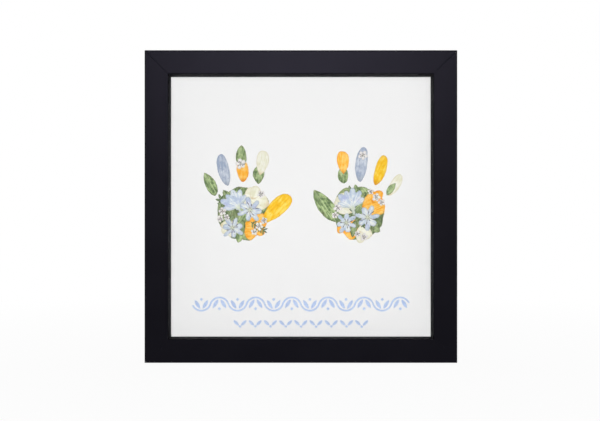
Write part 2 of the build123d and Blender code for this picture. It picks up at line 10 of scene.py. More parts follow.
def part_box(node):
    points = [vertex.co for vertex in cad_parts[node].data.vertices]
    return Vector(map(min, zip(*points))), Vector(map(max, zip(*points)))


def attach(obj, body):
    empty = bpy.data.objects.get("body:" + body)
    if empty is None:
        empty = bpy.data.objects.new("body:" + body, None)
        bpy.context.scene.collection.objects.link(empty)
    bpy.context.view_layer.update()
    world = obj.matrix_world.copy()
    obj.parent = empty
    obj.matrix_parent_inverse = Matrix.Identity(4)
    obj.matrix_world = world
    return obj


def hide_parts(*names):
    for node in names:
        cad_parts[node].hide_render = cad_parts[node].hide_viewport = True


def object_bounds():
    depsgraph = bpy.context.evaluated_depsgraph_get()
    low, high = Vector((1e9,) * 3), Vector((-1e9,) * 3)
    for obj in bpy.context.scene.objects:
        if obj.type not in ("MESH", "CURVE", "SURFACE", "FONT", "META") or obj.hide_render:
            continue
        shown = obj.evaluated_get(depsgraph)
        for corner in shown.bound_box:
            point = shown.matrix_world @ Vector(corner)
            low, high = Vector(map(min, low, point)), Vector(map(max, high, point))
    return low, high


# Looks of the handprint frame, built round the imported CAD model.
# Metres, in the CAD model's frame: X to the right, Y to the back and Z up. The front faces -Y.
# The pressed pieces, the stitches and the features of materials are worked out in millimetres.

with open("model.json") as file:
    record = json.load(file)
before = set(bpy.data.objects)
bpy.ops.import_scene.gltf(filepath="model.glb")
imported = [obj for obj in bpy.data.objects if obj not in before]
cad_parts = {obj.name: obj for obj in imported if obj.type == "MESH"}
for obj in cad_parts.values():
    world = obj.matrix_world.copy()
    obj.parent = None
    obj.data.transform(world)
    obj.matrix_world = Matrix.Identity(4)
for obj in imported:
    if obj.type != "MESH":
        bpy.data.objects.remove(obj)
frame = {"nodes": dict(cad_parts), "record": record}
CAD_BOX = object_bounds()
CAD_MIDDLE = (CAD_BOX[0] + CAD_BOX[1]) / 2
NODES = frame["nodes"]
SLOTS = {part["node"]: part["material_slot"] for part in frame["record"]["subparts"]}
MM = 0.001

# Picture and camera: the frame's left, top, right and bottom edges in pixels, and where the camera stands
PICTURE_WIDTH = 600
PICTURE_HEIGHT = 421
FRAME_IN_PICTURE = (144.4, 49.65, 457.45, 363.4)
CAMERA_DISTANCE = 0.70
CAMERA_ASIDE = -0.002
CAMERA_BELOW = 0.007
SENSOR_WIDTH = 36.0

# Studio: light that falls from all round, and the floor round the object
AMBIENT_LIGHT = 0.02
FLOOR_SIDE = 8.0
FLOOR_TONES = (0.46, 0.50)
SHADOW_SHARE = 0.05
SHADOW_REACH = 0.6

# Lamps: name, place, what it points at, width, height, watts, and the rays that see it
LAMPS = [
    ("front_key", (0.0, -1.65, 0.115), (0.0, 0.0, 0.115), 0.30, 0.30, 29.0, "diffuse"),
    ("sheen_strip", (0.0, -2.60, 0.765), (0.0, 0.0, 0.115), 0.90, 0.30, 24.0, "glossy"),
    ("overhead", (0.0, 0.45, 1.50), (0.0, 0.02, 0.115), 1.40, 0.60, 4.0, "both"),
    ("left_side", (-1.50, 0.30, 0.55), (0.0, 0.02, 0.115), 0.80, 0.80, 4.0, "both"),
    ("right_side", (1.50, 0.30, 0.55), (0.0, 0.02, 0.115), 0.80, 0.80, 4.0, "both"),
    ("back_fill", (0.25, 1.60, 0.60), (0.0, 0.0, 0.115), 0.90, 0.70, 13.0, "both"),
]

# Linen: the grid of its front, its rounded edges, its turn-ins and its puckers
CLOTH_PITCH = 3.0 * MM
CLOTH_EDGE_STEPS = 4
CLOTH_EDGE_RADIUS = 0.6 * MM
TURN_IN_WIDTH = 20.0 * MM
PUCKER_DEPTH = 0.18 * MM
PUCKER_REACH = 14.0 * MM
PUCKER_LENGTH = 9.0 * MM

# Forms of the pressed pieces: distance between mesh points, depth of the nibbled edge, and range of shades
PRESSED_FORMS = {
    "leaf": (0.50, 0.50, (0.82, 1.24)),
    "petal": (0.50, 0.45, (0.94, 1.05)),
    "spray": (0.30, 0.08, (0.90, 1.15)),
    "blossom": (0.34, 0.34, (0.96, 1.05)),
    "floret": (0.36, 0.70, (0.96, 1.05)),
    "bell": (0.40, 0.70, (0.96, 1.05)),
}

# Edges of the pressed pieces: shares of that distance, and waves of the nibbling
EDGE_SPACING_SHARE = 0.7
EDGE_CLEAR_SHARE = 0.55
EDGE_WAVES = (6.0, 1.5)
EDGE_WAVE_SHARE = 0.3

# Surface of the pressed pieces: heights as shares of their gauge, and reaches and waves
RIM_HEIGHT = 0.6
LEAST_HEIGHT = 0.3
EDGE_ROUND = 0.5
RIM_REACH = 0.7
CRUMPLE_WAVES = (4.0, 1.8)
CRUMPLE_SHARE = 0.06

# Sinking of a pressed piece: its steepest slope, and the least gap that counts
SINK_SLOPE = 0.30
TOUCHING = 1e-4

# Search for a piece's foot: directions tried, and the share of its length that is compared
FOOT_DIRECTIONS = 72
FOOT_SHARE = 0.33

# Leaves, petals and sprays: full height, depth and strength of the veins, and the shares of the length
# where the foot ends and the tip begins
BLADES = {
    "leaf": (0.92, 0.32, 1.0, 0.12, 0.70),
    "petal": (0.88, 0.16, 0.7, 0.24, 0.75),
    "spray": (0.95, 0.40, 0.8, 0.10, 0.60),
}

# Veins of the leaves: side veins lean to the midrib and fade towards the rim
MIDRIB_WIDTH = 0.50
VEIN_PITCH = 3.3
VEIN_LEAN = 0.85
VEIN_WIDTH = 0.12
VEIN_FADE = (0.2, 1.2)
SIDE_VEIN_HEIGHT = 0.7

# Lines of the petals: the angle between them as seen from a point behind the foot
PETAL_LINE_ANGLE = 0.075
PETAL_LINE_WIDTH = 0.2
PETAL_LINE_FADE = (0.1, 2.0)
PETAL_LINE_START = 0.35

# Middles of a spray's stalk and leaflets, by the distance from the rim
SPRAY_MIDDLE = (0.35, 0.8)

# Flowers: heights, depths and strengths, and the shares of the radius between which each mark grows
NOTCH_WINDOW = 16
NOTCH_RADIUS = 0.85
HEART_HEIGHT = 0.62
PETAL_RISE = 0.34
PETAL_RISE_GROWS = (0.1, 0.6)
SEAM_WIDTH = 0.45
SEAM_SINK = 0.3
SEAM_SHOWN = 0.75
SEAM_GROWS = (0.08, 0.25)
FLOWER_LINE_ANGLE = 0.13
FLOWER_LINE_WIDTH = 0.22
FLOWER_LINE_SINK = 0.08
FLOWER_LINE_SHOWN = 0.55
FLOWER_LINE_GROWS = (0.15, 0.4)
FLOWER_LINE_FADE = (0.1, 0.8)
FLOWER_FOOT_FADES = (0.08, 0.34)
FLOWER_TIP_GROWS = (0.55, 1.0)

# Bells: share of the length where the petals meet, and shares of that where the stalk's colour fades
BELL_MEETING = 0.29
BELL_STALK_FADES = (0.8, 1.6)

# Stamens: number, shares of the blossom's radius, and radii from foot to anther in millimetres
STAMEN_COUNT = 7
STAMEN_SPREAD = 0.3
STAMEN_START = 0.08
STAMEN_REACH = (0.30, 0.66)
STAMEN_BEND = 0.12
STAMEN_RADII = (0.13, 0.117, 0.117, 0.30, 0.21)

# Embroidery thread. An outline that is wider than a stem's least width is a stem.
STRAND_RADIUS = 0.20
STRAND_PITCH = 0.36
STRAND_STEPS = 8
STRAND_DIP = 0.14
STRAND_LIFTS = (0.9, 1.0)
STRAND_ARCH_POWER = 4
SATIN_SLANT = 62.0
SATIN_UNEVEN = 0.06
STEM_PITCH = 0.50
STEM_SKEW = 2.3
STEM_LEAST_WIDTH = 50.0

# Meshes: sides of a tube, the normal's Y up to which a face is a front one, and how near double points are
TUBE_SIDES = 6
FRONT_FACING = -0.9
SAME_PLACE = 1e-7

# Seeds of the random draws
LINEN_SEED = 7
PRESSED_SEED = 100
VINE_SEED = 11
SPRIG_SEED = 12

# Black paint: stretch of the grain along X, Y and Z, tints of colour and shine, and the joints' rough lines
BLACK_PAINTS = {"black_wood_level": (40, 1, 1), "black_wood_upright": (1, 1, 40)}
PAINT_TINT = (0.96, 0.92, 1.28)
SHEEN_TINT = (0.76, 0.71, 1.0, 1.0)
MITRE_LINE = 0.5
MITRE_ROUGHNESS = 0.3

# Share of a face's normal towards the frame's middle past which it is an inside face
INWARD_SHARE = 0.4

# Glass: its index, and what each side lets through
GLASS_INDEX = 1.14
GLASS_CLEARNESS = 0.994

# Weave of the linen
WARP_PITCH = 0.62
WEFT_PITCH = 0.66
SLUB_SIZE = 0.7
SLUB_STRETCHES = ((30, 1, 1), (1, 1, 30))

# Plated steel: screen colour and roughness, then the share of the colour in its deepest parts
STEELS = {
    "v_nail_steel": ((138, 140, 144), 0.48),
    "button_steel": ((150, 150, 152), 0.46),
    "screw_steel": ((176, 170, 156), 0.40),
    "hanger_steel": ((146, 122, 80), 0.50),
    "hanger_nail_steel": ((104, 86, 58), 0.36),
}
MOTTLE_DEEP = 0.78

# Boards and tape: dark and pale screen colour, size of the fibres, roughness and the fibres' depth
BOARDS = {
    "mount_board": ((214, 210, 200), (232, 229, 221), 0.5, 0.85, 0.02),
    "tape": ((220, 212, 190), (236, 230, 212), 0.4, 0.5, 0.02),
    "backing_board": ((116, 84, 57), (150, 114, 82), 0.45, 0.78, 0.04),
}

# Matt blacks: dark and pale level, and size, detail and depth of the grain
MATT_BLACKS = {
    "black_wood_inside": (0.002, 0.004, 0.5, 3.0, 0.02),
    "spacer_board": (0.003, 0.006, 0.6, 5.0, 0.03),
}

# Strands: screen colours between which a strand's own lies, and roughness
STRANDS = {
    "thread_blue": (((180, 200, 234), (192, 210, 240), (206, 221, 245)), 0.5),
    "stamen": (((46, 38, 52), (84, 68, 74)), 0.7),
}

# Nodes whose look isn't named like their slot
OWN_LOOKS = {
    "rail_top": "black_wood_level",
    "rail_bottom": "black_wood_level",
    "rail_left": "black_wood_upright",
    "rail_right": "black_wood_upright",
    "hanger_nails": "hanger_nail_steel",
}

# Lines painted on the leaves: midrib, side veins that wander, and the net between them
MIDRIB_LINE = 0.42
SIDE_LINE = 0.26
SIDE_LINE_STRENGTH = 0.75
WANDER = 0.6
WANDER_SIZE = 5.0
NET_SIZE = 0.8
NET_LINE = 0.12
NET_STRENGTH = 0.28

# Screen colours of the pressed pieces: main, deep, pale, vein, foot and spot
PALETTES = {
    "leaf_green": (
        (127, 151, 99), (80, 104, 66), (178, 195, 145), (198, 210, 166), (160, 170, 116), (98, 86, 62)),
    "spray_green": (
        (128, 154, 108), (84, 112, 76), (166, 186, 140), (188, 202, 162), (140, 150, 104), (100, 90, 64)),
    "petal_orange": (
        (253, 192, 78), (248, 168, 48), (254, 214, 124), (246, 168, 52), (216, 118, 34), (178, 98, 40)),
    "petal_yellow": (
        (250, 207, 50), (244, 184, 32), (253, 224, 108), (241, 184, 34), (204, 128, 34), (170, 108, 42)),
    "petal_cream": (
        (237, 236, 219), (226, 224, 198), (243, 242, 232), (222, 222, 196), (212, 186, 132), (186, 162, 112)),
    "petal_blue": (
        (184, 193, 207), (155, 168, 192), (211, 217, 225), (155, 167, 190), (162, 168, 178), (98, 104, 128)),
    "floret_blue": (
        (216, 225, 232), (184, 198, 216), (243, 244, 237), (180, 194, 217), (210, 216, 186), (86, 82, 116)),
    "blossom_white": (
        (244, 242, 239), (228, 224, 222), (248, 247, 245), (216, 212, 210), (212, 210, 186), (150, 138, 134)),
}

# Stains of the pieces whose stain isn't their deep colour
STAINS = {"leaf_green": (98, 86, 62), "floret_blue": (170, 172, 224)}

# From the frame: the nodes and the gauge of the pressed pieces, and the linen's front, in millimetres
PRESSED_NODES = [name for name in sorted(NODES) if SLOTS[name] in PALETTES]
GAUGE = min(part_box(name)[1].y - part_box(name)[0].y for name in PRESSED_NODES) / MM
LINEN_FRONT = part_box("linen_panel")[0].y / MM

# Blender's nodes: where noise mostly lies, the length of a wave's band, and the mix node's colour sockets
NOISE_ENDS = (0.3, 0.7)
WAVE_PERIOD = math.tau / 20
MIX_SOCKETS = (0, 6, 7)
MIX_OUTPUT = 2

# Blender's triangulation: it keeps the inside of an outline, with a tolerance. Then the least divisor.
KEEP_INSIDE = 1
TRIANGLE_TOLERANCE = 1e-6
TINY = 1e-12


def srgb(red, green, blue):
    """Linear colour of a screen colour whose parts run to 255."""
    shares = [part / 255 for part in (red, green, blue)]
    return (*[x / 12.92 if x <= 0.04045 else ((x + 0.055) / 1.055) ** 2.4 for x in shares], 1.0)


def grey(level, tint=(1.0, 1.0, 1.0)):
    return (*[level * part for part in tint], 1.0)


# Materials


class Nodes:
    """A tree of shader nodes."""

    def __init__(self, tree):
        self.tree = tree

    def put(self, socket, value):
        """Links another node's output to a socket, or sets the socket's own value."""
        if isinstance(value, bpy.types.NodeSocket):
            self.tree.links.new(value, socket)
        else:
            socket.default_value = value

    def add(self, kind, sockets=None, output=0, **settings):
        """Adds a node, links or sets its sockets and returns one of its outputs."""
        made = self.tree.nodes.new("ShaderNode" + kind)
        for name, value in settings.items():
            setattr(made, name, value)
        for name, value in (sockets or {}).items():
            self.put(made.inputs[name], value)
        return made.outputs[output]

    def maths(self, kind, one, other=0.0):
        return self.add("Math", {0: one, 1: other}, operation=kind)

    def spread(self, share, low, high):
        """A share from 0 to 1 moved to the range between two numbers."""
        return self.add("MapRange", {"Value": share, "To Min": low, "To Max": high})


class Paint(Nodes):
    """A node material built round its Principled shader."""

    def __init__(self, name):
        self.material = bpy.data.materials.new(name)
        self.material.use_nodes = True
        super().__init__(self.material.node_tree)
        self.shader = self.tree.nodes["Principled BSDF"]

    def shade(self, sockets):
        """Sets or links the sockets of the Principled shader."""
        for name, value in sockets.items():
            self.put(self.shader.inputs[name], value)
        return self.material

    def show(self, surface):
        """Takes another shader than the Principled one."""
        self.tree.links.new(surface, self.tree.nodes["Material Output"].inputs["Surface"])
        self.tree.nodes.remove(self.shader)
        return self.material

    def place(self, stretch=(1, 1, 1)):
        """The object's coordinates in millimetres, each divided by its stretch."""
        where = self.add("TexCoord", output="Object")
        return self.add("Mapping", {"Vector": where, "Scale": [1 / MM / x for x in stretch]})

    def noise(self, feature, stretch=(1, 1, 1), detail=3.0):
        """Noise from 0 to 1 whose features are so many millimetres across."""
        sockets = {"Vector": self.place(stretch), "Scale": 1 / feature, "Detail": detail}
        return self.add("TexNoise", sockets, output="Fac")

    def streaks(self, feature, stretch):
        """Noise from 0 to 1 that is drawn out along a pressed piece's own length."""
        own = self.add("CombineXYZ", {"X": self.field("across"), "Y": self.field("along")})
        drawn = self.add("Mapping", {"Vector": own, "Scale": (1, 1 / stretch, 1)})
        return self.add("TexNoise", {"Vector": drawn, "Scale": 1 / feature, "Detail": 3.0}, output="Fac")

    def bands(self, pitch, axis):
        """Waves from 0 to 1 along an axis, so many millimetres apart."""
        sockets = {"Vector": self.place(), "Scale": WAVE_PERIOD / pitch}
        return self.add("TexWave", sockets, output="Fac", bands_direction=axis)

    def cells(self, feature):
        """Distance to the nearest wall between cells that are so many millimetres across."""
        sockets = {"Vector": self.place(), "Scale": 1 / feature}
        return self.add("TexVoronoi", sockets, output="Distance", feature="DISTANCE_TO_EDGE")

    def field(self, name):
        """A number that the mesh's points carry."""
        return self.add("Attribute", output="Fac", attribute_name=name)

    def fall(self, value, reach):
        """1 where a number is 0, falling to 0 where it comes to its reach."""
        return self.add("MapRange", {"Value": value, "From Max": reach, "To Min": 1.0, "To Max": 0.0})

    def average(self, one, other):
        return self.maths("MULTIPLY", self.maths("ADD", one, other), 0.5)

    def ramp(self, share, stops):
        """Colour that a share from 0 to 1 picks on a scale of places and colours."""
        made = self.tree.nodes.new("ShaderNodeValToRGB")
        for extra in stops[2:]:
            made.color_ramp.elements.new(extra[0])
        for element, (position, colour) in zip(made.color_ramp.elements, sorted(stops)):
            element.position = position
            element.color = colour
        self.put(made.inputs["Fac"], share)
        return made.outputs["Color"]

    def tones(self, share, first, last, ends=NOISE_ENDS):
        """Colour between two, by how far a share has come between two ends."""
        return self.ramp(share, list(zip(ends, (first, last))))

    def mix(self, share, one, other):
        """Colour that goes from one to another as a share goes from 0 to 1."""
        made = self.tree.nodes.new("ShaderNodeMix")
        made.data_type = "RGBA"
        for number, value in zip(MIX_SOCKETS, (share, one, other)):
            self.put(made.inputs[number], value)
        return made.outputs[MIX_OUTPUT]

    def mark(self, tone, share, colour, strength):
        """A tone with a colour laid over it, at its strength where a share is 1."""
        return self.mix(self.spread(share, 0.0, strength), tone, colour)

    def bump(self, height, depth):
        """Normal of a surface whose height of 0 to 1 stands for so many millimetres."""
        return self.add("Bump", {"Height": height, "Distance": depth * MM, "Strength": 1.0})


def mitre_lines(paint):
    """1 at the frame's corner joints, falling to 0 a little beside them."""
    place = paint.add("TexCoord", output="Object")
    from_middle = paint.add("VectorMath", {0: place, 1: CAD_MIDDLE}, operation="SUBTRACT")
    parts = paint.add("SeparateXYZ", {"Vector": from_middle}).node
    aside, up = (paint.maths("ABSOLUTE", parts.outputs[axis]) for axis in "XZ")
    apart = paint.maths("ABSOLUTE", paint.maths("SUBTRACT", aside, up))
    return paint.fall(apart, MITRE_LINE * MM)


def tinted(level):
    """Near black in the paint's tint."""
    return grey(level, PAINT_TINT)


def black_paint(name, *stretch):
    """Satin black paint on grained wood, rougher where it is thin at the joints."""
    paint = Paint(name)
    cloud = paint.noise(feature=26, detail=2.0)
    grain = paint.noise(feature=0.5, stretch=stretch)
    thin = paint.spread(mitre_lines(paint), 0.0, MITRE_ROUGHNESS)
    return paint.shade({
        "Base Color": paint.tones(cloud, tinted(0.0016), tinted(0.0026)),
        "Roughness": paint.maths("ADD", paint.spread(grain, 0.31, 0.36), thin),
        "Specular IOR Level": 0.075,
        "Specular Tint": SHEEN_TINT,
        "Normal": paint.bump(grain, 0.004),
    })


def matt_black(name, dark, pale, feature, detail, depth):
    """Matt black paint or card with a fine grain."""
    paint = Paint(name)
    grain = paint.noise(feature, detail=detail)
    return paint.shade({
        "Base Color": paint.tones(grain, tinted(dark), tinted(pale)),
        "Roughness": paint.spread(grain, 0.7, 0.85),
        "Specular IOR Level": 0.05,
        "Specular Tint": SHEEN_TINT,
        "Normal": paint.bump(grain, depth),
    })


def clear_glass():
    """Thin pane that lamps shine through. It reflects a little, where a ray enters it."""
    paint = Paint("glass")
    smudge = paint.noise(feature=30, detail=4.0)
    gloss = paint.add("BsdfGlossy", {"Roughness": paint.spread(smudge, 0.01, 0.05)})
    clear = paint.add("BsdfTransparent", {"Color": grey(GLASS_CLEARNESS)})
    shadow = paint.add("LightPath", output="Is Shadow Ray")
    leaving = paint.add("NewGeometry", output="Backfacing")
    entering = paint.maths("SUBTRACT", 1.0, paint.maths("MAXIMUM", shadow, leaving))
    share = paint.maths("MULTIPLY", paint.add("Fresnel", {"IOR": GLASS_INDEX}), entering)
    return paint.show(paint.add("MixShader", {0: share, 1: clear, 2: gloss}))


def linen():
    """Plain-woven white linen with slubs in both directions."""
    paint = Paint("linen")
    weave = paint.maths("MULTIPLY", paint.bands(WARP_PITCH, "X"), paint.bands(WEFT_PITCH, "Z"))
    slubs = paint.average(*[paint.noise(SLUB_SIZE, stretch) for stretch in SLUB_STRETCHES])
    return paint.shade({
        "Base Color": paint.tones(slubs, grey(0.86), grey(0.90)),
        "Roughness": paint.spread(weave, 0.82, 0.95),
        "Specular IOR Level": 0.2,
        "Sheen Weight": 0.08,
        "Normal": paint.bump(paint.maths("ADD", weave, slubs), 0.05),
    })


def board(name, dark, pale, feature, roughness, depth):
    """Pressed board or paper with fibres of two sizes."""
    paint = Paint(name)
    fine = paint.noise(feature, detail=6.0)
    tone = paint.average(fine, paint.noise(feature * 4, detail=5.0))
    return paint.shade({
        "Base Color": paint.tones(tone, srgb(*dark), srgb(*pale), ends=(0.35, 0.65)),
        "Roughness": paint.spread(fine, roughness - 0.1, roughness + 0.1),
        "Specular IOR Level": 0.3,
        "Normal": paint.bump(fine, depth),
    })


def plated_steel(name, colour, roughness):
    """Plated steel with a mottled finish and fine scratches."""
    paint = Paint(name)
    mottle = paint.noise(feature=1.1, detail=4.0)
    scratch = paint.noise(feature=0.22, stretch=(14, 1, 1), detail=2.0)
    deep = [part * MOTTLE_DEEP for part in colour]
    return paint.shade({
        "Base Color": paint.tones(mottle, srgb(*deep), srgb(*colour)),
        "Metallic": 1.0,
        "Roughness": paint.spread(mottle, roughness - 0.08, roughness + 0.1),
        "Normal": paint.bump(scratch, 0.008),
    })


def rubber():
    """Black rubber with a dull bloom."""
    paint = Paint("bumper_rubber")
    bloom = paint.noise(feature=1.6, detail=4.0)
    return paint.shade({
        "Base Color": paint.tones(bloom, grey(0.018), grey(0.04), ends=(0.3, 0.75)),
        "Roughness": paint.spread(bloom, 0.45, 0.7),
        "Normal": paint.bump(paint.noise(feature=0.3), 0.02),
    })


def leaf_veins(paint):
    """1 on a leaf's midrib, less on its side veins and the net between them, and 0 elsewhere."""
    across = paint.maths("ABSOLUTE", paint.field("across"))
    lean = paint.maths("MULTIPLY", across, VEIN_LEAN)
    wander = paint.spread(paint.noise(WANDER_SIZE), -WANDER, WANDER)
    course = paint.maths("ADD", paint.maths("SUBTRACT", paint.field("along"), lean), wander)
    beside = paint.maths("PINGPONG", course, VEIN_PITCH / 2)
    midrib = paint.fall(across, MIDRIB_LINE)
    side = paint.maths("MULTIPLY", paint.fall(beside, SIDE_LINE), SIDE_LINE_STRENGTH)
    net = paint.maths("MULTIPLY", paint.fall(paint.cells(NET_SIZE), NET_LINE), NET_STRENGTH)
    return paint.maths("MAXIMUM", midrib, paint.maths("MAXIMUM", side, net))


def pressed(slot):
    """Dried petal or leaf: patches, streaks, veins, a darker foot and rim, and a few spots."""
    paint = Paint(slot)
    main, deep, pale, vein, foot, spot = [srgb(*colour) for colour in PALETTES[slot]]
    stain = srgb(*STAINS[slot]) if slot in STAINS else deep
    patch = paint.average(paint.noise(feature=4.0, detail=6.0), paint.streaks(feature=1.1, stretch=9.0))
    tone = paint.ramp(patch, [(0.42, deep), (0.49, main), (0.56, pale)])
    stained = paint.tones(paint.noise(feature=7.0, detail=5.0), grey(0.0), grey(0.55), ends=(0.54, 0.72))
    tone = paint.mix(stained, tone, stain)
    tip = paint.maths("MULTIPLY", paint.field("tip"), paint.noise(feature=2.2, detail=4.0))
    tone = paint.mix(tip, tone, deep)
    tone = paint.mark(tone, paint.field("foot"), foot, strength=0.85)
    lines = leaf_veins(paint) if slot.startswith("leaf") else paint.field("vein")
    tone = paint.mark(tone, lines, vein, strength=0.70)
    rim = paint.field("rim")
    tone = paint.mark(tone, rim, deep, strength=0.50)
    tone = paint.mark(tone, paint.maths("POWER", rim, 2.5), spot, strength=0.40)
    specks = paint.tones(paint.noise(feature=1.3, detail=2.0), grey(0.0), grey(0.75), ends=(0.66, 0.76))
    tone = paint.mix(specks, tone, spot)
    fibre = paint.noise(feature=0.3, detail=4.0)
    relief = paint.average(fibre, paint.streaks(feature=0.5, stretch=12.0))
    return paint.shade({
        "Base Color": paint.add("HueSaturation", {"Value": paint.field("shade"), "Color": tone}),
        "Roughness": paint.spread(fibre, 0.62, 0.86),
        "Specular IOR Level": 0.25,
        "Sheen Weight": 0.05,
        "Normal": paint.bump(relief, 0.05),
    })


def stranded(name, colours, roughness):
    """Thread or filament: each strand has its own tone."""
    paint = Paint(name)
    tones = [srgb(*colour) for colour in colours]
    stops = [(number / (len(tones) - 1), tone) for number, tone in enumerate(tones)]
    strand_tone = paint.ramp(paint.field("shade"), stops)
    ply = paint.noise(feature=0.12, detail=2.0)
    return paint.shade({
        "Base Color": paint.mark(strand_tone, ply, tones[0], strength=0.3),
        "Roughness": paint.spread(ply, roughness - 0.1, roughness + 0.1),
        "Sheen Weight": 0.15,
        "Normal": paint.bump(ply, 0.02),
    })


def all_materials():
    """Every material by its look."""
    made = {"glass": clear_glass(), "linen": linen(), "bumper_rubber": rubber()}
    made.update({slot: pressed(slot) for slot in PALETTES})
    tables = {
        black_paint: BLACK_PAINTS,
        matt_black: MATT_BLACKS,
        board: BOARDS,
        plated_steel: STEELS,
        stranded: STRANDS,
    }
    for make, looks in tables.items():
        made.update({name: make(name, *look) for name, look in looks.items()})
    return made


MATERIALS = all_materials()


# Shapes


def ripple(places, wavelength, rng, waves=6, shortest=0.6, longest=1.6, gain=1.5):
    """Smooth random number from about -1 to 1 at each place in a plane."""
    angles = rng.uniform(0, math.tau, waves)
    phases = rng.uniform(0, math.tau, waves)
    lengths = wavelength * rng.uniform(shortest, longest, waves)
    turns = (places[:, :1] * np.cos(angles) + places[:, 1:] * np.sin(angles)) / lengths
    return gain * np.sin(math.tau * turns + phases).mean(axis=1)


def ridge(turns, width):
    """1 on every whole number of turns, falling to 0 beside it."""
    return np.exp(-(((turns - np.round(turns)) / width) ** 2))


def ramp_up(values, low, high):
    """0 below low, 1 above high and smooth between them."""
    share = np.clip((values - low) / (high - low), 0, 1)
    return share * share * (3 - 2 * share)


def boundary_loops(edges):
    """Closed loops of vertices along edges that meet two by two."""
    links = {}
    for edge in edges:
        first, second = edge.verts
        links.setdefault(first, []).append(second)
        links.setdefault(second, []).append(first)
    loops = []
    while links:
        vertex = next(iter(links))
        loop = []
        while vertex is not None:
            loop.append(vertex)
            neighbours = links.pop(vertex)
            vertex = next((other for other in neighbours if other in links), None)
        loops.append(loop)
    return loops


def front_outlines(node):
    """Front outline of each solid in a CAD node, in millimetres in X and Z, anticlockwise, and its Y."""
    mesh = bmesh.new()
    mesh.from_mesh(NODES[node].data)
    bmesh.ops.remove_doubles(mesh, verts=mesh.verts, dist=SAME_PLACE)
    fronts = {face for face in mesh.faces if face.normal.y < FRONT_FACING}
    rims = [edge for edge in mesh.edges if sum(face in fronts for face in edge.link_faces) == 1]
    outlines = []
    for loop in boundary_loops(rims):
        points = np.array([(vertex.co.x, vertex.co.z) for vertex in loop]) / MM
        following = np.roll(points, -1, axis=0)
        area = np.sum(points[:, 0] * following[:, 1] - following[:, 0] * points[:, 1])
        outlines.append((points if area > 0 else points[::-1], loop[0].co.y / MM))
    mesh.free()
    return outlines


def evenly(points, spacing, closed=True, least=8):
    """Points the same distance apart along a line through the given ones."""
    line = np.vstack([points, points[:1]]) if closed else points
    run = np.concatenate([[0], np.cumsum(np.linalg.norm(np.diff(line, axis=0), axis=1))])
    count = max(least, round(run[-1] / spacing))
    wanted = np.linspace(0, run[-1], count, endpoint=not closed)
    return np.column_stack([np.interp(wanted, run, line[:, axis]) for axis in (0, 1)])


def nibbled(outline, depth, rng):
    """Outline with an uneven edge, a little inside the given one."""
    ahead = np.roll(outline, -1, axis=0) - np.roll(outline, 1, axis=0)
    inward = np.column_stack([-ahead[:, 1], ahead[:, 0]]) / np.linalg.norm(ahead, axis=1)[:, None]
    slow, quick = (ripple(outline, wavelength, rng) for wavelength in EDGE_WAVES)
    bite = np.clip(0.5 + EDGE_WAVE_SHARE * slow + EDGE_WAVE_SHARE * quick, 0, 1)
    return outline + inward * (depth * bite)[:, None]


def edge_distance(places, outline):
    """Distance of each place from an outline."""
    step = np.roll(outline, -1, axis=0) - outline
    offset = places[:, None, :] - outline[None]
    share = np.clip((offset * step).sum(2) / np.maximum((step**2).sum(1), TINY), 0, 1)
    return np.linalg.norm(offset - share[..., None] * step, axis=2).min(1)


def within(places, outline):
    """Which places are inside an outline."""
    x, z = places[:, :1], places[:, 1:]
    x0, z0 = outline[:, 0], outline[:, 1]
    x1, z1 = np.roll(x0, -1), np.roll(z0, -1)
    level = np.where(z1 == z0, TINY, z1 - z0)
    crossed = ((z0 > z) != (z1 > z)) & (x < (x1 - x0) * (z - z0) / level + x0)
    return crossed.sum(1) % 2 == 1


def triangles_over(outline, spacing):
    """Points and triangles that fill an outline evenly."""
    low, high = outline.min(0), outline.max(0)
    columns = np.arange(low[0], high[0], spacing)
    rows = np.arange(low[1], high[1], spacing * math.sqrt(3) / 2)
    grid = np.array([(x + spacing / 2 * (row % 2), z) for row, z in enumerate(rows) for x in columns])
    grid = grid[within(grid, outline)]
    grid = grid[edge_distance(grid, outline) > EDGE_CLEAR_SHARE * spacing]
    points = [Vector(point) for point in np.vstack([outline, grid])]
    rim = [list(range(len(outline)))]
    made = geometry.delaunay_2d_cdt(points, [], rim, KEEP_INSIDE, TRIANGLE_TOLERANCE)
    return np.array([tuple(point) for point in made[0]]), [list(face) for face in made[2]]


def own_frame(outline):
    """Foot, direction and length of a piece: it is narrowest for its length at its foot."""
    best = None
    for turn in np.arange(FOOT_DIRECTIONS) * math.tau / FOOT_DIRECTIONS:
        axis = np.array([math.cos(turn), math.sin(turn)])
        along = outline @ axis
        length = np.ptp(along)
        across = outline @ (-axis[1], axis[0])
        low = along < along.min() + FOOT_SHARE * length
        narrow = np.ptp(across[low]) / length
        if best is None or narrow < best[0]:
            foot = axis * along.min() + np.array([-axis[1], axis[0]]) * across[low].mean()
            best = (narrow, foot, axis, length)
    return best[1:]


def own_places(points, outline):
    """Places along a piece from its foot and across it, and its length."""
    foot, axis, length = own_frame(outline)
    offset = points - foot
    return offset @ axis, offset @ (-axis[1], axis[0]), length


def blade(form, veins, along, across, length):
    """Height and marks of a piece that grows from a foot to a tip."""
    full, sink, shown, foot_end, tip_start = BLADES[form]
    return {
        "height": full - sink * veins,
        "vein": shown * veins,
        "foot": 1 - ramp_up(along, 0.0, foot_end * length),
        "tip": ramp_up(along, tip_start * length, length),
        "along": along,
        "across": across,
    }


def leaf_form(points, outline, rim):
    """Leaf with a midrib and side veins."""
    along, across, length = own_places(points, outline)
    midrib = np.exp(-((across / MIDRIB_WIDTH) ** 2))
    side = ridge((along - np.abs(across) * VEIN_LEAN) / VEIN_PITCH, VEIN_WIDTH) * ramp_up(rim, *VEIN_FADE)
    return blade("leaf", np.maximum(midrib, SIDE_VEIN_HEIGHT * side), along, across, length)


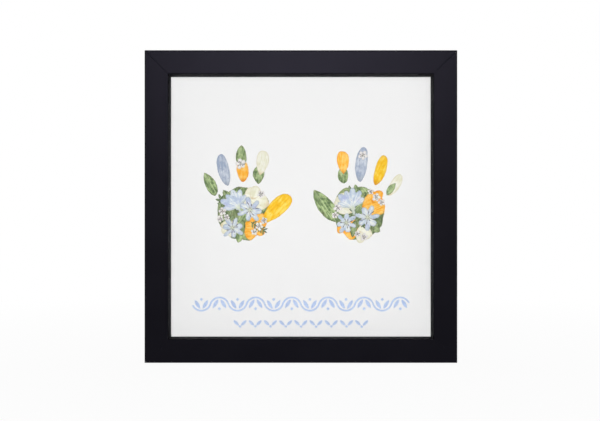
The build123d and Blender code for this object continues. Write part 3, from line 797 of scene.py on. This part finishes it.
def petal_form(points, outline, rim):
    """Petal with lines that spread from its foot."""
    along, across, length = own_places(points, outline)
    angle = np.arctan2(across, along + PETAL_LINE_START * length)
    lines = ridge(angle / PETAL_LINE_ANGLE, PETAL_LINE_WIDTH) * ramp_up(rim, *PETAL_LINE_FADE)
    return blade("petal", lines, along, across, length)


def spray_form(points, outline, rim):
    """Frond: its stalk and the middles of its leaflets are pale and sunken."""
    return blade("spray", ramp_up(rim, *SPRAY_MIDDLE), *own_places(points, outline))


def notch_angles(edge):
    """Angles of the notches between the petals of a flower, from its outline round its middle."""
    radius = np.linalg.norm(edge, axis=1)
    reach = max(2, len(edge) // NOTCH_WINDOW)
    lowest = np.min([np.roll(radius, step) for step in range(-reach, reach + 1)], axis=0)
    notches = edge[(radius == lowest) & (radius < NOTCH_RADIUS * radius.max())]
    return np.arctan2(notches[:, 1], notches[:, 0])


def flower(points, outline, rim, middle):
    """Flower whose petals meet in a middle, with a seam from it to every notch of the outline."""
    offset = points - middle
    angle = np.arctan2(offset[:, 1], offset[:, 0])
    radius = np.linalg.norm(offset, axis=1)
    share = radius / np.linalg.norm(outline - middle, axis=1).max()
    seam = np.zeros(len(points))
    for notch in notch_angles(outline - middle):
        apart = np.abs((angle - notch + math.pi) % math.tau - math.pi)
        seam = np.maximum(seam, np.exp(-((apart * radius / SEAM_WIDTH) ** 2)) * (apart < 1))
    seam *= ramp_up(share, *SEAM_GROWS)
    lines = ridge(angle / FLOWER_LINE_ANGLE, FLOWER_LINE_WIDTH)
    lines = lines * ramp_up(share, *FLOWER_LINE_GROWS) * ramp_up(rim, *FLOWER_LINE_FADE)
    full = HEART_HEIGHT + PETAL_RISE * ramp_up(share, *PETAL_RISE_GROWS)
    return {
        "height": full - SEAM_SINK * seam - FLOWER_LINE_SINK * lines,
        "vein": np.maximum(SEAM_SHOWN * seam, FLOWER_LINE_SHOWN * lines),
        "foot": 1 - ramp_up(share, *FLOWER_FOOT_FADES),
        "tip": ramp_up(share, *FLOWER_TIP_GROWS),
        "along": radius,
        "across": angle * radius.max() / 2,
    }


def blossom_form(points, outline, rim):
    """Flower pressed from above."""
    return flower(points, outline, rim, outline.mean(0))


def bell_form(points, outline, rim):
    """Half-open flower pressed from the side: its stalk keeps the foot's colour."""
    foot, axis, length = own_frame(outline)
    meeting = BELL_MEETING * length
    made = flower(points, outline, rim, foot + axis * meeting)
    along = (points - foot) @ axis
    made["foot"] = 1 - ramp_up(along, *[share * meeting for share in BELL_STALK_FADES])
    return made


FORMS = {
    "leaf": leaf_form,
    "petal": petal_form,
    "blossom": blossom_form,
    "floret": blossom_form,
    "bell": bell_form,
    "spray": spray_form,
}


def form_of(node):
    """Form of a node's pressed pieces."""
    return "bell" if node.endswith("bells") else SLOTS[node].split("_")[0]


def new_object(name, data):
    """Object of the scene for a mesh, a lamp or a camera."""
    made = bpy.data.objects.new(name, data)
    bpy.context.scene.collection.objects.link(made)
    return made


def stand_for(node, name, mesh):
    """Piece of the frame's body that takes the place of a CAD node."""
    made = new_object(name, mesh)
    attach(made, "frame")
    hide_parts(node)
    return made


class Shape:
    """Points, faces and the numbers that the points carry, gathered for one piece."""

    def __init__(self, *fields):
        self.points = []
        self.faces = []
        self.kinds = []
        self.fields = {name: [] for name in fields}

    def take(self, points, faces, kind=0, **fields):
        """Takes in a part of the piece, whose faces have one kind of material."""
        start = len(self.points)
        self.points.extend(tuple(point) for point in points)
        self.faces.extend([start + corner for corner in face] for face in faces)
        self.kinds.extend([kind] * len(faces))
        for name, values in self.fields.items():
            values.extend(np.broadcast_to(fields.get(name, 0.0), len(points)))

    def piece(self, name, node, materials, sharp_angle):
        """Makes the piece that stands for a CAD node, with edges that look sharp past an angle in degrees."""
        mesh = bpy.data.meshes.new(name)
        mesh.from_pydata([Vector(point) * MM for point in self.points], [], self.faces)
        for field, values in self.fields.items():
            mesh.attributes.new(field, "FLOAT", "POINT").data.foreach_set("value", values)
        for material in materials:
            mesh.materials.append(MATERIALS[material])
        mesh.polygons.foreach_set("material_index", self.kinds)
        mesh.shade_smooth()
        mesh.set_sharp_from_angle(angle=math.radians(sharp_angle))
        stand_for(node, name, mesh)


def plate(points, triangles, front, back):
    """Closed thin plate: points and faces from triangles over X and Z and the Y of its two sides."""
    count = len(points)
    sides = [np.column_stack([points[:, 0], y, points[:, 1]]) for y in (front, back)]
    edges = {(face[i - 1], face[i]) for face in triangles for i in range(3)}
    rims = [(a, b) for a, b in sorted(edges) if (b, a) not in edges]
    faces = list(triangles)
    faces += [[count + corner for corner in reversed(face)] for face in triangles]
    faces += [[a, count + a, count + b, b] for a, b in rims]
    return np.vstack(sides), faces


def tube(line, radii):
    """Closed tube along a line of points, with one radius or a radius at each."""
    sides = TUBE_SIDES
    ahead = np.gradient(line, axis=0)
    ahead /= np.linalg.norm(ahead, axis=1)[:, None]
    across = np.cross(ahead, (0.0, 1.0, 0.0))
    across /= np.linalg.norm(across, axis=1)[:, None]
    up = np.cross(across, ahead)
    angles = np.arange(sides) * math.tau / sides
    spokes = across[:, None] * np.cos(angles)[:, None] + up[:, None] * np.sin(angles)[:, None]
    points = (line[:, None] + spokes * np.reshape(radii, (-1, 1, 1))).reshape(-1, 3)
    faces = []
    for step in range(len(line) - 1):
        for side in range(sides):
            a = step * sides + side
            b = step * sides + (side + 1) % sides
            faces.append([a, a + sides, b + sides, b])
    faces.append(list(range(sides)))
    faces.append([len(points) - 1 - side for side in range(sides)])
    return points, faces


# Pressed pieces

LAID = {name: front_outlines(name) for name in PRESSED_NODES}
ALL_LAID = [outline for outlines in LAID.values() for outline in outlines]


def settle(points, back):
    """How far a thin piece sinks at each point onto what lies behind it, bending no more than gently."""
    gap = np.full(len(points), LINEN_FRONT - back)
    low, high = points.min(0), points.max(0)
    for outline, front in ALL_LAID:
        beside = (outline.max(0) < low).any() or (outline.min(0) > high).any()
        if front > back - TOUCHING and not beside:
            over = within(points, outline)
            gap[over] = np.minimum(gap[over], front - back)
    if gap.max() < TOUCHING:
        return gap
    apart = np.linalg.norm(points[:, None] - points[None], axis=2)
    return np.maximum((gap + SINK_SLOPE * apart).min(axis=1), 0)


def stamens(shape, outline, front, points, sink, rng):
    """Dark filaments with anthers, spread from a blossom's middle and sunken like its nearest points."""
    middle = outline.mean(0)
    radius = np.linalg.norm(outline - middle, axis=1).max()
    turn = rng.uniform(0, math.tau)
    steps = len(STAMEN_RADII)
    for number in range(STAMEN_COUNT):
        angle = turn + (number + rng.uniform(-STAMEN_SPREAD, STAMEN_SPREAD)) * math.tau / STAMEN_COUNT
        reach = radius * rng.uniform(*STAMEN_REACH)
        run = np.linspace(STAMEN_START * radius, reach, steps)
        bend = STAMEN_BEND * reach * rng.uniform(-1, 1) * np.sin(np.linspace(0, math.pi, steps))
        x = middle[0] + run * math.cos(angle) - bend * math.sin(angle)
        z = middle[1] + run * math.sin(angle) + bend * math.cos(angle)
        places = np.column_stack([x, z])
        nearest = ((places[:, None] - points[None]) ** 2).sum(2).argmin(1)
        y = front - STAMEN_RADII[0] / 2 + sink[nearest]
        filament = tube(np.column_stack([x, y, z]), STAMEN_RADII)
        shape.take(*filament, kind=1, shade=rng.uniform(0, 1))


def surface_height(height, points, rim, rng):
    """Height of a piece with its wrinkles and its rounded rim, as a share of its gauge."""
    for wavelength in CRUMPLE_WAVES:
        height = height + CRUMPLE_SHARE * ripple(points, wavelength, rng)
    height = height * (RIM_HEIGHT + (1 - RIM_HEIGHT) * ramp_up(rim, 0.0, EDGE_ROUND))
    return np.clip(height, LEAST_HEIGHT, 1.0)


def pressed_piece(node, rng):
    """Thin dried piece in the place of each solid of a CAD node."""
    form = form_of(node)
    flat_flower = form in ("blossom", "floret")
    spacing, nibble, shades = PRESSED_FORMS[form]
    shape = Shape("foot", "tip", "vein", "rim", "along", "across", "shade")
    for outline, front in LAID[node]:
        outline = nibbled(evenly(outline, spacing * EDGE_SPACING_SHARE), nibble, rng)
        points, triangles = triangles_over(outline, spacing)
        sink = settle(points, front + GAUGE)
        back = front + GAUGE + sink
        rim = edge_distance(points, outline)
        fields = FORMS[form](points, outline, rim)
        surface = back - GAUGE * surface_height(fields.pop("height"), points, rim, rng)
        fields["rim"] = np.exp(-rim / RIM_REACH)
        both_sides = {name: np.tile(values, 2) for name, values in fields.items()}
        solid = plate(points, triangles, surface, back)
        shape.take(*solid, shade=rng.uniform(*shades), **both_sides)
        if flat_flower:
            stamens(shape, outline, front, points, sink, rng)
    materials = [SLOTS[node], "stamen"] if flat_flower else [SLOTS[node]]
    shape.piece(f"{node}_pressed", node, materials, sharp_angle=50)


# Embroidery


def strand(shape, start, end, height, rng):
    """One stitch from start to end in X and Z, raised in its middle and dipping into the linen."""
    share = np.linspace(0, 1, STRAND_STEPS)
    arch = 1 - (2 * share - 1) ** STRAND_ARCH_POWER
    rise = height - STRAND_RADIUS + STRAND_DIP
    lift = -STRAND_DIP + rise * arch * rng.uniform(*STRAND_LIFTS)
    x = start[0] + (end[0] - start[0]) * share
    z = start[1] + (end[1] - start[1]) * share
    line = np.column_stack([x, LINEN_FRONT - lift, z])
    shape.take(*tube(line, STRAND_RADIUS), shade=rng.uniform(0, 1))


def satin(shape, outline, height, rng):
    """Side by side stitches that fill an outline, slanted to its length."""
    middle = outline.mean(0)
    axis = np.linalg.svd(outline - middle, full_matrices=False)[2][0]
    slant = math.radians(SATIN_SLANT)
    turn = np.array([[math.cos(slant), -math.sin(slant)], [math.sin(slant), math.cos(slant)]])
    stitch = turn @ axis
    step = np.array([-stitch[1], stitch[0]])
    offsets = (outline - middle) @ step
    runs = (outline - middle) @ stitch
    after = np.roll(np.arange(len(outline)), -1)
    inset = STRAND_PITCH / 2
    for offset in np.arange(offsets.min() + inset, offsets.max() - inset / 2, STRAND_PITCH):
        crossing = (offsets > offset) != (offsets[after] > offset)
        share = (offset - offsets[crossing]) / (offsets[after] - offsets)[crossing]
        ends = runs[crossing] + share * (runs[after] - runs)[crossing]
        uneven = rng.uniform(-SATIN_UNEVEN, SATIN_UNEVEN, 2)
        place = middle + step * offset
        start = place + stitch * (ends.min() + uneven[0])
        end = place + stitch * (ends.max() + uneven[1])
        strand(shape, start, end, height, rng)


def stem_stitch(shape, outline, height, rng):
    """Slanted stitches along a ribbon that runs from left to right."""
    after = np.roll(outline, -1, axis=0)
    middles = (outline[:, 0] + after[:, 0]) / 2
    left, right = int(middles.argmin()), int(middles.argmax())
    turned = np.roll(outline, -(left + 1), axis=0)
    cut = (right - left - 1) % len(outline)
    sides = [evenly(side, STEM_PITCH, closed=False) for side in (turned[: cut + 1], turned[cut + 1:][::-1])]
    skew = round(STEM_SKEW / STEM_PITCH)
    count = min(len(side) for side in sides)
    for number in range(count - skew):
        strand(shape, sides[0][number], sides[1][number + skew], height, rng)


def embroidered_piece(node, name, rng):
    """Stitches in the place of each raised solid of a CAD node."""
    low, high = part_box(node)
    height = (high.y - low.y) / MM
    shape = Shape("shade")
    for outline, _ in front_outlines(node):
        stitching = stem_stitch if np.ptp(outline[:, 0]) > STEM_LEAST_WIDTH else satin
        stitching(shape, outline, height, rng)
    shape.piece(name, node, ["thread_blue"], sharp_angle=80)


# Linen


def cloth_rings(half, front, back):
    """Half sides and Y of the square rings from the rim of the linen's front to its turn-ins' edge."""
    radius = CLOTH_EDGE_RADIUS
    rings = []
    for corner_y, first in ((front + radius, -90), (back - radius, 0)):
        for step in range(CLOTH_EDGE_STEPS + 1):
            angle = math.radians(first + 90 * step / CLOTH_EDGE_STEPS)
            rings.append((half - radius + radius * math.cos(angle), corner_y + radius * math.sin(angle)))
    return rings + [(half - TURN_IN_WIDTH / 2, back), (half - TURN_IN_WIDTH, back)]


def cloth_front(sheet, half, y):
    """Rows of vertices of the linen's flat front, with faces between them."""
    count = round(2 * half / CLOTH_PITCH)
    steps = np.linspace(-half, half, count + 1)
    grid = [[sheet.verts.new((x, y, z)) for x in steps] for z in steps]
    for lower, upper in zip(grid, grid[1:]):
        for column in range(count):
            sheet.faces.new((lower[column], lower[column + 1], upper[column + 1], upper[column]))
    return grid


def wrap_edges(sheet, grid, flat_half, rings):
    """Faces from the rim of the linen's front through square rings round the board's edges."""
    rim = grid[0][:-1] + [row[-1] for row in grid[:-1]] + grid[-1][:0:-1] + [row[0] for row in grid[:0:-1]]
    ring = rim
    for half, y in rings:
        scale = half / flat_half
        outer = [sheet.verts.new((vertex.co.x * scale, y, vertex.co.z * scale)) for vertex in rim]
        for number in range(len(ring)):
            sheet.faces.new((ring[number - 1], ring[number], outer[number], outer[number - 1]))
        ring = outer


def pucker(grid, half):
    """Moves the linen's front back a little near its edges, unevenly."""
    rng = np.random.default_rng(LINEN_SEED)
    front = [vertex for row in grid for vertex in row]
    places = np.array([(vertex.co.x, vertex.co.z) for vertex in front])
    near = 1 - ramp_up(half - np.abs(places).max(axis=1), 0.0, PUCKER_REACH)
    depths = PUCKER_DEPTH * near * (1 + ripple(places, PUCKER_LENGTH, rng)) / 2
    for vertex, depth in zip(front, depths):
        vertex.co.y += depth


def linen_cloth():
    """The sheet of linen: its front, its edges round the board and its turn-ins."""
    low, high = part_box("linen_panel")
    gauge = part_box("mount_board")[0].y - low.y
    half = (high.x - low.x) / 2
    flat_half = half - CLOTH_EDGE_RADIUS
    sheet = bmesh.new()
    grid = cloth_front(sheet, flat_half, low.y)
    rings = cloth_rings(half, low.y, high.y - gauge / 2)
    wrap_edges(sheet, grid, flat_half, rings[1:])
    pucker(grid, half)
    bmesh.ops.recalc_face_normals(sheet, faces=sheet.faces)
    middle = Vector(((low.x + high.x) / 2, 0, (low.z + high.z) / 2))
    bmesh.ops.translate(sheet, verts=sheet.verts, vec=middle)
    mesh = bpy.data.meshes.new("linen_cloth")
    sheet.to_mesh(mesh)
    sheet.free()
    mesh.shade_smooth()
    mesh.materials.append(MATERIALS["linen"])
    cloth = stand_for("linen_panel", "linen_cloth", mesh)


# Nodes that keep their CAD meshes


def paint_cad_nodes():
    """Gives every CAD node its material."""
    for name, node in NODES.items():
        node.data.materials.clear()
        node.data.materials.append(MATERIALS[OWN_LOOKS.get(name, SLOTS[name])])
        if name.startswith("rail_"):
            paint_inside(node)


def paint_inside(rail):
    """Second material for the faces of a rail that look at the frame's middle."""
    rail.data.materials.append(MATERIALS["black_wood_inside"])
    across = 0 if rail.name in ("rail_left", "rail_right") else 2
    for face in rail.data.polygons:
        to_middle = CAD_MIDDLE[across] - face.center[across]
        face.material_index = int(face.normal[across] * to_middle > INWARD_SHARE * abs(to_middle))


# Studio


def add_camera():
    """Camera that puts the frame where the picture has it."""
    low, high = CAD_BOX
    left, top, right, bottom = FRAME_IN_PICTURE
    per_metre = (right - left) / (high.x - low.x)
    data = bpy.data.cameras.new("picture_camera")
    data.sensor_width = SENSOR_WIDTH
    data.lens = SENSOR_WIDTH * per_metre * CAMERA_DISTANCE / PICTURE_WIDTH
    aside = (left + right - PICTURE_WIDTH) / 2 + CAMERA_ASIDE * per_metre
    down = (top + bottom - PICTURE_HEIGHT) / 2 + CAMERA_BELOW * per_metre
    data.shift_x = -aside / PICTURE_WIDTH
    data.shift_y = down / PICTURE_WIDTH
    camera = new_object("picture_camera", data)
    camera.location = (CAD_MIDDLE.x + CAMERA_ASIDE, low.y - CAMERA_DISTANCE, CAD_MIDDLE.z - CAMERA_BELOW)
    camera.rotation_euler = (math.pi / 2, 0, 0)
    bpy.context.scene.camera = camera


def add_lamp(name, place, target, width, height, watts, seen_by):
    data = bpy.data.lights.new(name, "AREA")
    data.shape = "RECTANGLE"
    data.size = width
    data.size_y = height
    data.energy = watts
    lamp = new_object(name, data)
    lamp.location = place
    lamp.rotation_euler = (Vector(target) - Vector(place)).to_track_quat("-Z", "Y").to_euler()
    lamp.visible_glossy = seen_by != "diffuse"
    lamp.visible_diffuse = seen_by != "glossy"


def seen_directly(nodes):
    """1 for a ray that shows the background: from the camera, by a reflection or through glass."""
    path = nodes.add("LightPath").node
    shown = nodes.maths("MAXIMUM", path.outputs["Is Camera Ray"], path.outputs["Is Glossy Ray"])
    return nodes.maths("MAXIMUM", shown, path.outputs["Is Transmission Ray"])


def floor_material():
    """White where it is seen, with a share of the lit floor near the object, which holds its shadow."""
    paint = Paint("floor")
    place = paint.add("TexCoord", output="Object")
    away = paint.add("VectorMath", {0: place}, output="Value", operation="LENGTH")
    white_range = {"Value": away, "From Max": SHADOW_REACH, "To Min": 1 - SHADOW_SHARE, "To Max": 1.0}
    share = paint.maths("MULTIPLY", seen_directly(paint), paint.add("MapRange", white_range))
    tone = paint.tones(paint.noise(feature=3.0), *[grey(level) for level in FLOOR_TONES])
    matt = paint.add("BsdfDiffuse", {"Color": tone})
    white = paint.add("Emission", {"Color": grey(1.0), "Strength": 1.0})
    return paint.show(paint.add("MixShader", {0: share, 1: matt, 2: white}))


def add_floor():
    half = FLOOR_SIDE / 2
    corners = [(-half, -half, 0), (half, -half, 0), (half, half, 0), (-half, half, 0)]
    mesh = bpy.data.meshes.new("floor")
    mesh.from_pydata(corners, [], [(0, 1, 2, 3)])
    mesh.materials.append(floor_material())
    floor = new_object("floor", mesh)


def add_world():
    """White background, and soft light from all round."""
    world = bpy.data.worlds.new("studio")
    world.use_nodes = True
    bpy.context.scene.world = world
    nodes = Nodes(world.node_tree)
    background = world.node_tree.nodes["Background"]
    nodes.put(background.inputs["Color"], grey(1.0))
    nodes.put(background.inputs["Strength"], nodes.spread(seen_directly(nodes), AMBIENT_LIGHT, 1.0))


# Assembly

paint_cad_nodes()
linen_cloth()
for number, node_name in enumerate(PRESSED_NODES):
    pressed_piece(node_name, np.random.default_rng(PRESSED_SEED + number))
embroidered_piece("embroidered_vine", "vine_stitches", np.random.default_rng(VINE_SEED))
embroidered_piece("embroidered_sprigs", "sprig_stitches", np.random.default_rng(SPRIG_SEED))

add_camera()
add_world()
add_floor()
for lamp in LAMPS:
    add_lamp(*lamp)
bpy.context.scene.view_settings.view_transform = "Standard"
